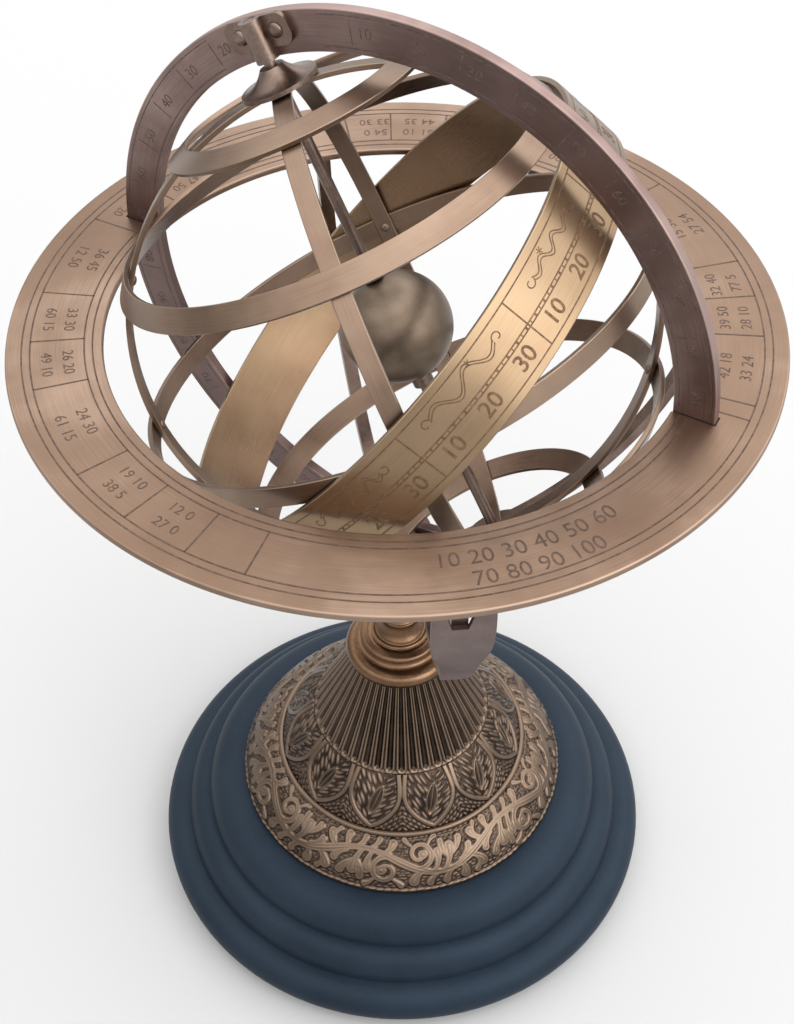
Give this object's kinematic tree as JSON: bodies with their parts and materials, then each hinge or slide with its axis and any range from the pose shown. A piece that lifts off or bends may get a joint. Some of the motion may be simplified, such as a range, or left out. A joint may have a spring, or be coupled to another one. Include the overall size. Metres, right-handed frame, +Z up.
{
  "type": "armillary sphere",
  "caption": "Antique brass armillary sphere: a small earth ball in a cage of engraved rings that turns in a meridian and horizon ring, on an embossed bell and dark wooden base.",
  "frame": {"origin": "centre of the base's underside, on the floor under the stem's axis", "axes": "+Z up along the stem, -Y towards the front arm and shield"},
  "size_m": [0.17, 0.17, 0.2663],
  "materials": {
    "horizon_brass": "engraved antique brass, satin",
    "meridian_brass": "engraved antique brass, satin",
    "cage_brass": "aged brass strip, satin",
    "zodiac_brass": "engraved golden brass, satin",
    "cap_brass": "aged brass, satin",
    "rivet_brass": "aged brass, worn bright",
    "rod_brass": "aged brass, satin",
    "earth_bronze": "dark bronze, soft gloss",
    "cradle_brass": "aged brass, satin",
    "shield_pewter": "dull pewter grey",
    "stem_brass": "dark patina with rubbed edges",
    "bell_brass": "dark patina with rubbed relief",
    "base_paint": "blue-black satin paint",
    "base_felt": "black felt",
    "tie_steel": "plain steel"
  },
  "bodies": {
    "stand": {"felt_pad": "base_felt", "wooden_base": "base_paint", "embossed_bell": "bell_brass", "stem": "stem_brass", "cradle_hub": "cradle_brass", "cradle_arm_1": "cradle_brass", "cradle_arm_2": "cradle_brass", "cradle_arm_3": "cradle_brass", "cradle_arm_4": "cradle_brass", "front_shield": "shield_pewter", "horizon_ring": "horizon_brass", "tie_rod": "tie_steel", "tie_nut": "tie_steel", "tie_washer": "tie_steel"},
    "meridian": {"meridian_ring": "meridian_brass", "north_bracket": "cap_brass", "south_bracket": "cap_brass", "north_bracket_rivets": "rivet_brass", "south_bracket_rivets": "rivet_brass", "polar_rod": "rod_brass", "upper_collar": "rod_brass", "lower_collar": "rod_brass"},
    "cage": {"equinox_colure": "cage_brass", "solstice_colure": "cage_brass", "arctic_circle": "cage_brass", "antarctic_circle": "cage_brass", "north_tropic": "cage_brass", "south_tropic": "cage_brass", "equator_ring": "cage_brass", "zodiac_band": "zodiac_brass", "north_pole_cap": "cap_brass", "south_pole_cap": "cap_brass", "north_tropic_rivets": "rivet_brass", "south_tropic_rivets": "rivet_brass", "solstice_rivets": "rivet_brass", "equinox_rivets": "rivet_brass"},
    "earth": {"earth_ball": "earth_bronze"}
  },
  "joints": [
    {"name": "meridian_tilt", "type": "hinge", "parent": "stand", "child": "meridian", "pos_m": [0, 0, 0.1927], "axis": [-0.4962, -0.8682, 0], "range_deg": [-8, 30]},
    {"name": "cage_spin", "type": "hinge", "parent": "meridian", "child": "cage", "pos_m": [0, 0, 0.1927], "axis": [-0.3901, 0.223, 0.8934], "continuous": true},
    {"name": "earth_spin", "type": "hinge", "parent": "meridian", "child": "earth", "pos_m": [0, 0, 0.1927], "axis": [-0.3901, 0.223, 0.8934], "continuous": true}
  ]
}
